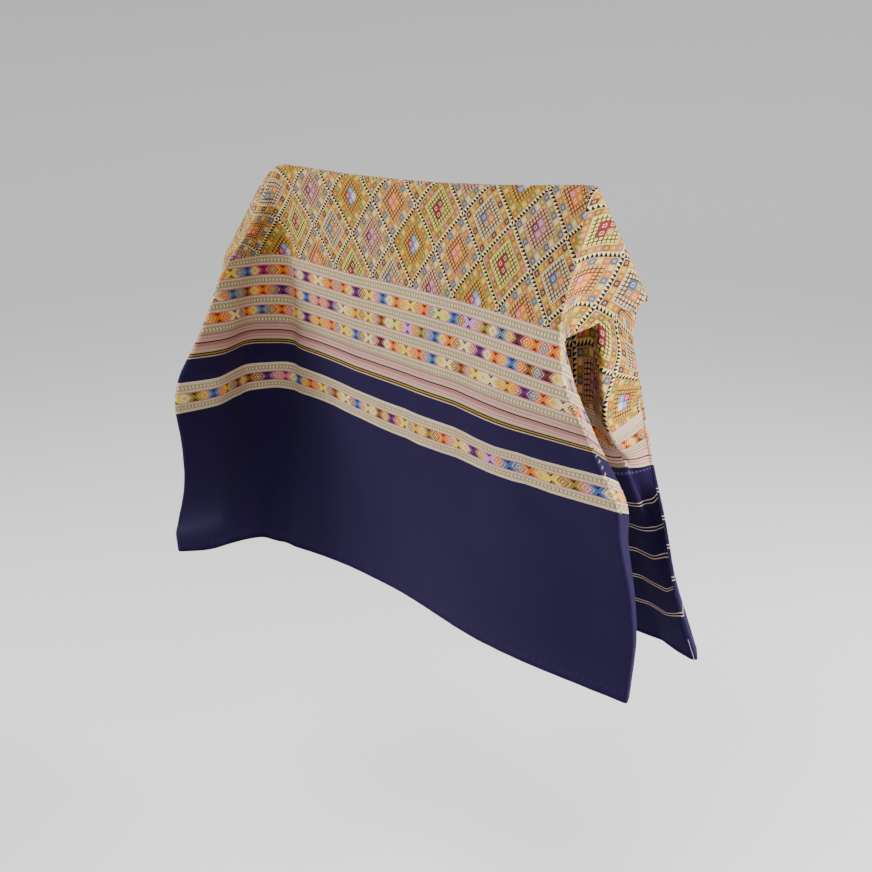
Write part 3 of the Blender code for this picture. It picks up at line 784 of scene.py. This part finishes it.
# One repeat holds a diamond and a quarter of each neighbour.  From its centre outwards: a
# heart of four squares, two rows of beads, a line, a chain of squares, a line and saw teeth.
HEART, RING_END, LINE_END, CHAIN_END, TEETH = 0.140, 0.284, 0.306, 0.441, 0.456
HEART_EYE = (0.30, 0.48)
BEAD, BEAD_OFFSET, BEAD_HALF, BEAD_PAINTED_SHADE = 0.073, 0.08, 0.335, 0.8
CHAIN, CHAIN_EYE, CHAIN_RIM = CHAIN_END / 3.5, (0.22, 0.34), 0.88
TOOTH, TOOTH_STRIP, TOOTH_SLOPE, TOOTH_FOOT = 1 / 13, 1 / 12, 0.80, 0.18
FIRST_DESIGN = 3
# Five designs take turns.  Each lists the dyes of its parts.
DESIGN_COLUMNS = "ring line heart_left heart_middle heart_right chain_1 chain_2 chain_3".split()
DESIGNS = dict(
    blue=((204, 192, 156), (212, 186, 168), (62, 100, 144), (142, 118, 84), (210, 120, 62),
          (92, 48, 50), (204, 160, 50), (186, 116, 48)),
    pink=((208, 166, 134), (196, 140, 140), (108, 46, 80), (180, 108, 140), (152, 108, 98),
          (76, 94, 114), (216, 190, 132), (150, 134, 56)),
    oval=((200, 152, 70), (184, 142, 66), (166, 50, 82), (98, 128, 172), (188, 188, 204),
          (178, 102, 40), (120, 122, 66), (212, 174, 76)),
    orange=((214, 154, 98), (206, 154, 108), (206, 104, 118), (220, 120, 54), (196, 130, 54),
            (68, 102, 140), (212, 182, 112), (192, 120, 54)),
    green=((206, 206, 116), (206, 206, 112), (146, 38, 58), (118, 46, 54), (166, 136, 60),
           (180, 96, 104), (132, 94, 38), (190, 122, 62)),
)

a, b = count_across + count_along, count_across - count_along
design = (b.nearest() * 2 - a.nearest() + FIRST_DESIGN).wrap(len(DESIGNS))
gap_a, gap_b = a.wrap(1.0) - 0.5, b.wrap(1.0) - 0.5
a, b = a - a.nearest(), b - b.nearest()


def of_design(part):
    """The colour of a part in the design whose turn it is."""
    column = DESIGN_COLUMNS.index(part)
    return pick(design, [dye(*dyes[column]) for dyes in DESIGNS.values()])


def larger(first, second):
    """The larger size of two numbers."""
    return first.size().op("MAXIMUM", second.size())


reach = larger(a, b)
# Each tooth is a dark right triangle that leans against the next.
on_a = a.size() > b.size()
on_b = on_a * -1 + 1
across_strip = (gap_a * on_a + gap_b * on_b) * (1 / TOOTH_STRIP) + 0.5
along_strip = (b * on_a + a * on_b) * (1 / TOOTH)
tooth = along_strip.wrap(1.0) < across_strip * TOOTH_SLOPE + TOOTH_FOOT
cell_a, cell_b = (a + CHAIN_END) * (1 / CHAIN), (b + CHAIN_END) * (1 / CHAIN)
turn_of = (cell_a.floor() + cell_b.floor()).wrap(3.0)
box = larger(cell_a.wrap(1.0) - 0.5, cell_b.wrap(1.0) - 0.5) * 2
square = lay(of_design("chain_1"), (of_design("chain_2"), turn_of > 0.5),
             (of_design("chain_3"), turn_of > 1.5), (PALE, box.between(*CHAIN_EYE)),
             (OLIVE, box > CHAIN_RIM))
bead_a = (a * (1 / BEAD) + BEAD_OFFSET).wrap(1.0)
bead_b = (b * (1 / BEAD) + BEAD_OFFSET).wrap(1.0)
# The black along two sides of each bead, over the brown, is painted shade.
beads = lay(BROWN, (BLACK, bead_a + bead_b > BEAD_PAINTED_SHADE),
            (of_design("ring"), larger(bead_a - 0.5, bead_b - 0.5) < BEAD_HALF))
nest = larger(a.size() - HEART / 2, b.size() - HEART / 2) * (2 / HEART)
heart = lay(of_design("heart_middle"), (of_design("heart_right"), (a > 0) * (b > 0)),
            (of_design("heart_left"), (a < 0) * (b < 0)), (PALE, nest.between(*HEART_EYE)))
line = of_design("line")
lattice = lay(CREAM, (BLACK, tooth), (line, reach.between(CHAIN_END, TEETH)),
              (square, reach.between(LINE_END, CHAIN_END)),
              (line, reach.between(RING_END, LINE_END)), (beads, reach < RING_END),
              (heart, reach < HEART))

# Below the lattice: dotted bands, rows of crosses, then fine stripes down to the indigo.
BANDS_TOP = 0.1145
DOTTED = 0.0132
CROSSED = 0.0116
STRIPES_TOP, STRIPES_END = 0.1995, 0.2265
GOLD_TOP, GOLD_ROW, GOLD_ROW_END, GOLD_END = 0.2500, 0.2610, 0.2730, 0.2840
GOLD_EDGE = 0.0007
DOT_PITCH, DOT_SQUASH, DOT_RADIUS = 0.0046, 2.4, 0.26
TICK_START, TICK_HALF = 0.40, 0.16


def dotted_band(y):
    """A band with a row of pale dots; y runs from 0 to 1 down it."""
    colour = steps(y, [(0.0, ROSE), (0.09, PALE), (0.20, TAUPE), (0.80, PALE), (0.91, ROSE),
                       (1.0, ROSE)])
    dot_x = (across * (1 / DOT_PITCH)).wrap(1.0) - 0.5
    dot_y = (y - 0.5) * DOT_SQUASH
    ring = (dot_x * dot_x + dot_y * dot_y).op("SQRT")
    tick = (dot_x.size() > TICK_START) * ((y - 0.5).size() < TICK_HALF)
    return lay(colour, (OLIVE, tick), (CREAM, ring < DOT_RADIUS))


def lay_dotted(cloth, low, high):
    """The cloth with a dotted band from low to high."""
    y = (along - low) * (1 / (high - low))
    return lay(cloth, (dotted_band(y), y.between(0.0, 1.0)))


CROSS_PITCH = 0.0256
FORK, FORK_LINE = 0.30, (0.68, 0.80)
CHEVRON = (0.52, 0.66)
DIAMOND, DIAMOND_RING, DIAMOND_LINE, DIAMOND_EYE = 1.10, (0.62, 0.76), (0.24, 0.40), 0.24
ROW_EDGE = 0.93
DIAMONDS = [CREAM, GOLD, ORANGE, STEEL, YELLOW, BROWN, PINK]


def cross_row(y, start, crosses):
    """A row of crosses and nested diamonds; y runs from -1 to 1 down it."""
    x = (across - start) * (1 / CROSS_PITCH)
    cross_colour = pick(x.nearest().wrap(len(crosses)), crosses)
    diamond_colour = pick(x.floor().wrap(len(DIAMONDS)), DIAMONDS)
    from_cross = (x - x.nearest()).size() * 4
    fork = y.size() - from_cross
    chevron = from_cross - y.size()
    inner = (from_cross * -1 + 2) + y.size()
    return lay(cross_colour, (BLACK, fork > FORK), (cross_colour, fork.between(*FORK_LINE)),
               (PALE, chevron.between(*CHEVRON)), (diamond_colour, inner < DIAMOND),
               (CREAM, inner.between(*DIAMOND_RING)), (BROWN, inner.between(*DIAMOND_LINE)),
               (CREAM, inner < DIAMOND_EYE), (PINK, y.size() > ROW_EDGE))


def lay_crosses(cloth, low, high, start, crosses):
    """The cloth with a row of crosses from low to high; one cross lies at start."""
    y = (along - (low + high) / 2) * (2 / (high - low))
    return lay(cloth, (cross_row(y, start, crosses), y.between(-1.0, 1.0)))


ROW_1 = [ROSE, PURPLE, CREAM, ORANGE, ORANGE, PURPLE, YELLOW, BLUE, ORANGE, YELLOW, ORANGE,
         GREEN, BLUE, LILAC, OLIVE, STEEL, MAROON, ORANGE, ORANGE, YELLOW, BLUE, MAGENTA, ORANGE]
ROW_2 = [ORANGE, BLUE, PINK, PURPLE, CREAM, GOLD, YELLOW, BROWN, GREEN, LILAC, OLIVE, BLUE,
         ORANGE, CREAM, PURPLE, ORANGE, BLUE, BROWN, MAROON, CREAM, STEEL, BROWN, ORANGE, PURPLE]
ROW_3 = [YELLOW, PURPLE, GOLD, ORANGE, YELLOW, BLUE, CREAM, MAROON, ORANGE, YELLOW, ORANGE,
         BLUE, CREAM, BROWN, YELLOW, CREAM, GOLD, PURPLE, ORANGE, CREAM, ORANGE, STEEL, ORANGE]
GOLD_CROSSES = [PINK, BLUE, ORANGE, YELLOW, BROWN, CREAM, BLUE, GREEN, BROWN, PURPLE, YELLOW,
                GOLD, OLIVE, ORANGE, YELLOW, PURPLE, LILAC, BLUE, ORANGE, YELLOW, OLIVE, BLUE,
                GOLD, BROWN, BROWN, PURPLE]
FIRST_CROSS, GOLD_CROSS, ROW_SHIFT = 0.161, 0.128, 0.003
cloth = lay(INDIGO, (lattice, along < BANDS_TOP))
start = BANDS_TOP
for n, crosses in enumerate((ROW_1, ROW_2, ROW_3, None)):
    cloth = lay_dotted(cloth, start, start + DOTTED)
    start += DOTTED
    if crosses:
        cloth = lay_crosses(cloth, start, start + CROSSED, FIRST_CROSS - ROW_SHIFT * n, crosses)
        start += CROSSED
# Each stripe starts this many millimetres below the last dotted band.
DULL = dye(194, 166, 146)
DULL_ROSE = dye(168, 118, 114)
STRIPES = [(0.0, DULL_ROSE), (2.2, DULL), (4.4, PINK), (5.6, DULL), (8.7, BLACK),
           (10.1, DULL_ROSE), (13.2, PINK), (14.4, DULL), (16.0, DULL_ROSE), (17.0, DULL),
           (20.6, BLACK), (22.1, OLIVE), (23.6, BLACK), (25.0, DULL), (26.3, BLACK),
           (27.0, BLACK)]
y = (along - STRIPES_TOP) * 1000
cloth = lay(cloth, (steps(y, STRIPES), along.between(STRIPES_TOP, STRIPES_END)))
cloth = lay_dotted(cloth, GOLD_TOP, GOLD_ROW)
cloth = lay_dotted(cloth, GOLD_ROW_END, GOLD_END)
cloth = lay_crosses(cloth, GOLD_ROW, GOLD_ROW_END, GOLD_CROSS, GOLD_CROSSES)
for edge_line in (GOLD_TOP, GOLD_END):
    cloth = lay(cloth, (PALE, (along - edge_line).size() < GOLD_EDGE))

# Behind, the lattice ends in stripes, one row of crosses between dotted bands, and stripes.
BACK_TOP, BACK_DOTTED, BACK_ROW = -0.2215, -0.2305, -0.2415
BACK_ROW_END, BACK_DOTTED_END = -0.2545, -0.2655
BACK_CROSSES = [ORANGE, ORANGE, BROWN, ORANGE]
UPPER_STRIPES = [(0.0, PINK), (1.2, PALE), (3.0, ROSE), (4.6, PALE), (6.4, ROSE), (8.0, PALE),
                 (9.0, PALE)]
LOWER_STRIPES = [(0.0, ROSE), (2.4, PALE), (4.2, PINK), (6.0, PALE), (8.0, ROSE), (10.0, BLACK),
                 (11.6, PALE), (14.0, PINK), (16.0, PALE), (18.5, ROSE), (20.5, PALE),
                 (24.5, PALE)]
y = (along - BACK_TOP) * -1000
cloth = lay(cloth, (steps(y, UPPER_STRIPES), along.between(BACK_DOTTED, BACK_TOP)))
cloth = lay_dotted(cloth, BACK_DOTTED, BACK_ROW)
cloth = lay_dotted(cloth, BACK_ROW_END, BACK_DOTTED_END)
cloth = lay_crosses(cloth, BACK_ROW, BACK_ROW_END, 0.0, BACK_CROSSES)
y = (along - BACK_DOTTED_END) * -1000
cloth = lay(cloth, (steps(y, LOWER_STRIPES), y > 0.0))


def stitch_row(across, along, place, half, pitch, long):
    """Where a row of stitches shows, each this long and half this thick."""
    return ((along - place).size() < half) * (across.wrap(pitch) < long)


# The hem is turned up and caught with small pick stitches, near the front's lower edge.
hem_picks = stitch_row(across, along, 0.4965, half=0.0008, pitch=0.009, long=0.0028)
cloth = lay(cloth, (dye(50, 42, 82), hem_picks))


def noise_over(tree, x, y, detail):
    """Soft noise over two numbers, from 0 to 1."""
    joined = tree.nodes.new("ShaderNodeCombineXYZ")
    tree.links.new(x.socket, joined.inputs[0])
    tree.links.new(y.socket, joined.inputs[1])
    noise = tree.nodes.new("ShaderNodeTexNoise")
    set_inputs(noise, {"Scale": 1.0, "Detail": detail})
    tree.links.new(joined.outputs[0], noise.inputs["Vector"])
    return Shade(noise.outputs[0])


def relief(tree, shader, height, strength, distance):
    """Raises fine relief on the surface."""
    bump = tree.nodes.new("ShaderNodeBump")
    set_inputs(bump, {"Strength": strength, "Distance": distance})
    tree.links.new(height.socket, bump.inputs["Height"])
    tree.links.new(bump.outputs[0], shader.inputs["Normal"])


# Uneven threads streak the cloth lengthwise, and wear mottles it.  Tone and roughness are
# shares of the streaks and of the wear, and what is added.
STREAKS_ACROSS, STREAKS_ALONG = 500, 14
WEAR_ACROSS, WEAR_ALONG = 16, 11
TONE, ROUGH = (0.30, 0.24, 0.73), (0.20, 0.12, 0.62)
SATURATION = 1.02
THREAD_RELIEF, STREAK_RELIEF = 0.6, 0.8
SHEEN = {"Sheen Weight": 0.02, "Sheen Roughness": 0.40, "Specular IOR Level": 0.06}


def finish_cloth(tree, shader, across, along, colour, thread, float_height):
    """Adds thread relief, streaks and sheen, and joins the colour to the shader."""
    streak = noise_over(tree, across * STREAKS_ACROSS, along * STREAKS_ALONG, 3.0)
    worn = noise_over(tree, across * WEAR_ACROSS, along * WEAR_ALONG, 4.0)

    def mixed(streaks, wear, plain):
        return (streak * streaks + worn * wear + plain).socket

    tone = tree.nodes.new("ShaderNodeHueSaturation")
    tree.links.new(colour, tone.inputs["Color"])
    tree.links.new(mixed(*TONE), tone.inputs["Value"])
    tone.inputs["Saturation"].default_value = SATURATION
    tree.links.new(tone.outputs[0], shader.inputs["Base Color"])
    tree.links.new(mixed(*ROUGH), shader.inputs["Roughness"])
    wave = 2 * np.pi / thread
    ribs = (across * wave).op("SINE") * (along * wave).op("SINE")
    relief(tree, shader, ribs + streak * STREAK_RELIEF, THREAD_RELIEF, float_height)
    set_inputs(shader, SHEEN)


finish_cloth(tree, foot_shader, across, along, cloth, thread=0.0011, float_height=0.0005)
foot_outer = cloth_object("foot_cloth_outer", 0, slice(0, foot_rows), foot_material)
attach(foot_outer, "root")
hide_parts("foot_panel_front_outer", "foot_panel_back_outer")
foot_inner = cloth_object("foot_cloth_inner", 1, slice(0, foot_rows), foot_material)
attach(foot_inner, "root")
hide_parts("foot_panel_front_inner", "foot_panel_back_inner")

# ================================================
# Body panel
# The waist end of the skirt: a plain indigo cotton tube crossed by pairs of thin white lines.
# It is sewn to the foot panel's upper edge with small stitches and hangs behind, below it.
# ================================================
WHITE_LINES = (-0.3175, -0.3470, -0.3780, -0.4135, -0.4520)
LINE_FROM, LINE_TO = 0.0013, 0.0022
body_material, tree, body_shader = new_material("indigo")
across, along = map_place(tree, "weave")
body_cloth = INDIGO
for line in WHITE_LINES:
    off = (along - line).size()
    body_cloth = lay(body_cloth, (PALE, off.between(LINE_FROM, LINE_TO)))
join_stitches = stitch_row(across, along, -0.2925, half=0.0006, pitch=0.004, long=0.0024)
body_cloth = lay(body_cloth, (dye(84, 76, 116), join_stitches))
finish_cloth(tree, body_shader, across, along, body_cloth, thread=0.0009, float_height=0.0004)
body_outer = cloth_object("body_cloth_outer", 0, slice(foot_rows, None), body_material)
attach(body_outer, "root")
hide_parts("body_panel_outer")
body_inner = cloth_object("body_cloth_inner", 1, slice(foot_rows, None), body_material)
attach(body_inner, "root")
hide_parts("body_panel_inner")

# ================================================
# Edge stitches
# Doubled cotton thread is whipped over the front's right edge, through the patterned bands.
# ================================================
EDGE_COLUMN = EDGE + 3
STITCH_TOP, STITCH_END, STITCH_PITCH = 0.105, 0.286, 0.0066
STITCH_HALF = 0.0022
THREAD_RADIUS = 0.0007
RINGS, SIDES = 7, 8
# In thread radii: how high the middle rides over the cloth, and how far the ends dive.
RISE, DIVE = 1.3, 2.2
THINNEST = 0.12
SLANT, SLANT_SPREAD, SLANT_CHANGE = 0.45, 0.10, 2.3
edge_along = places[0][1][:, EDGE_COLUMN]
order = np.flatnonzero(edge_along > 0.02)[::-1]
slopes = np.gradient(grids[0], axis=0)


def on_edge(table, stitch_at):
    """A grid's value on the right edge, this far along."""
    return np.array([np.interp(stitch_at, edge_along[order], table[order, EDGE_COLUMN, k])
                     for k in range(3)])


stitch_verts, stitch_faces, stitch_maps = [], [], []
for n, stitch_at in enumerate(np.arange(STITCH_TOP, STITCH_END, STITCH_PITCH)):
    middle = on_edge(grids[0], stitch_at)
    inward = unit(on_edge(normals[0], stitch_at))
    down = unit(on_edge(slopes, stitch_at))
    side = unit(np.cross(inward, down))
    lean = unit(side + down * (SLANT + SLANT_SPREAD * np.sin(n * SLANT_CHANGE)))
    over = np.cross(lean, inward)
    first = len(stitch_verts)
    for t in np.linspace(-1, 1, RINGS):
        rise = WALL / 2 + THREAD_RADIUS * (RISE - DIVE * t * t)
        radius = THREAD_RADIUS * np.sqrt(max(THINNEST, 1 - t ** 4))
        centre = middle + lean * STITCH_HALF * t - inward * rise
        for turn in np.linspace(0, 2 * np.pi, SIDES + 1)[:-1]:
            stitch_verts.append(centre + radius * (np.cos(turn) * over + np.sin(turn) * inward))
    for ring in range(RINGS - 1):
        for k in range(SIDES):
            p, q = first + ring * SIDES + k, first + ring * SIDES + (k + 1) % SIDES
            stitch_faces.append((p, q, q + SIDES, p + SIDES))
            near, far = k / SIDES, (k + 1) / SIDES
            stitch_maps += [(near, ring), (far, ring), (far, ring + 1), (near, ring + 1)]
    tip = first + (RINGS - 1) * SIDES
    stitch_faces.append(tuple(range(first + SIDES - 1, first - 1, -1)))
    stitch_faces.append(tuple(range(tip, tip + SIDES)))
    stitch_maps += [(0.5, 0.0)] * (2 * SIDES)
stitch_mesh = bpy.data.meshes.new("edge_stitches")
stitch_mesh.from_pydata([v.tolist() for v in stitch_verts], [], stitch_faces)
add_map(stitch_mesh, "thread", np.array(stitch_maps, dtype=float))
stitch_mesh.shade_smooth()
# Two strands twisted together: a slanting groove, with painted shade inside it.
STRANDS, TWIST = 2, 0.5
GROOVE_PAINTED_SHADE = 0.78
thread_material, tree, thread_shader = new_material("stitching thread")
round_place, long_place = map_place(tree, "thread")
groove = ((round_place * STRANDS + long_place * TWIST).wrap(1.0) - 0.5).size() * 2
# Thread colour, with painted shade where the groove between the strands lies.
thread_colour_and_shade = lay(dye(196, 172, 128), (dye(120, 92, 58), groove > GROOVE_PAINTED_SHADE))
tree.links.new(thread_colour_and_shade, thread_shader.inputs["Base Color"])
relief(tree, thread_shader, groove * -1 + 1, 0.7, 0.0004)
tree.links.new((groove * 0.15 + 0.65).socket, thread_shader.inputs["Roughness"])
stitch_mesh.materials.append(thread_material)
stitches = add_object("edge_stitches", stitch_mesh)
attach(stitches, "root")

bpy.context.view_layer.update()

# ================================================
# Floor, light and camera
# A pale floor well below the hanging cloth that curves up all round, a soft lamp at the front
# left, one at the right behind, and softer light from above and from the room.
# ================================================
FLOOR_DROP = 0.95
FLOOR_RADIUS = 6.0
WALL_BEND = 5.0
FLAT_RINGS, BEND_RINGS = 10, 12
BEND_ANGLE = 1.5
AROUND = 64
turns = np.linspace(0, 2 * np.pi, AROUND + 1)[:-1]
profile = [(FLOOR_RADIUS * k / FLAT_RINGS, 0.0) for k in range(1, FLAT_RINGS + 1)]
profile += [(FLOOR_RADIUS + WALL_BEND * np.sin(t), WALL_BEND * (1 - np.cos(t)))
            for t in np.linspace(0, BEND_ANGLE, BEND_RINGS + 1)[1:]]
floor_verts = [(0.0, 0.0, -FLOOR_DROP)]
floor_verts += [(r * np.cos(t), r * np.sin(t), h - FLOOR_DROP) for r, h in profile for t in turns]
floor_faces = [(0, 1 + k, 1 + (k + 1) % AROUND) for k in range(AROUND)]
for first in range(1, 1 + AROUND * (len(profile) - 1), AROUND):
    for k in range(AROUND):
        near, beside = first + k, first + (k + 1) % AROUND
        floor_faces.append((near, near + AROUND, beside + AROUND, beside))
floor_mesh = bpy.data.meshes.new("floor")
floor_mesh.from_pydata(floor_verts, [], floor_faces)
floor_mesh.shade_smooth()
floor_material, _, floor_shader = new_material("floor")
set_inputs(floor_shader, {"Base Color": dye(236, 236, 236), "Roughness": 0.9})
floor_mesh.materials.append(floor_material)
floor = add_object("floor", floor_mesh)

world = bpy.data.worlds.new("room")
world.use_nodes = True
room_light = world.node_tree.nodes["Background"]
set_inputs(room_light, {"Color": (1.0, 1.0, 1.0, 1.0), "Strength": 0.22})
bpy.context.scene.world = world


def aimed_lamp(name, kind, place, aim, power, width):
    """A lamp at place, turned to aim; width is its side in metres or its angle for a sun."""
    data = bpy.data.lights.new(name, kind)
    data.energy = power
    setattr(data, "angle" if kind == "SUN" else "size", width)
    lamp = add_object(name, data)
    lamp.location = place
    way = np.array(aim) - np.array(place)
    lamp.rotation_euler = (np.arctan2(np.hypot(way[0], way[1]), -way[2]), 0.0,
                           np.arctan2(-way[0], way[1]))


aimed_lamp("front lamp", "AREA", (-1.25, -1.25, 0.95), (0.0, 0.0, -0.2), 46, 0.8)
aimed_lamp("side lamp", "AREA", (2.0, 0.95, 0.50), (0.25, 0.0, -0.2), 120, 0.5)
aimed_lamp("top lamp", "SUN", (-0.2, -0.5, 2.0), (0.0, 0.0, 0.0), 1.7, 0.5)

LOOKING_DOWN, LOOKING_LEFT = 19.64, 41.60
camera = add_object("camera", bpy.data.cameras.new("camera"))
camera.location = (0.7308, -0.7940, 0.0909)
camera.rotation_euler = np.radians([90 - LOOKING_DOWN, 0.0, LOOKING_LEFT])
camera.data.lens = 39.2
camera.data.sensor_width = 36.0
bpy.context.scene.camera = camera
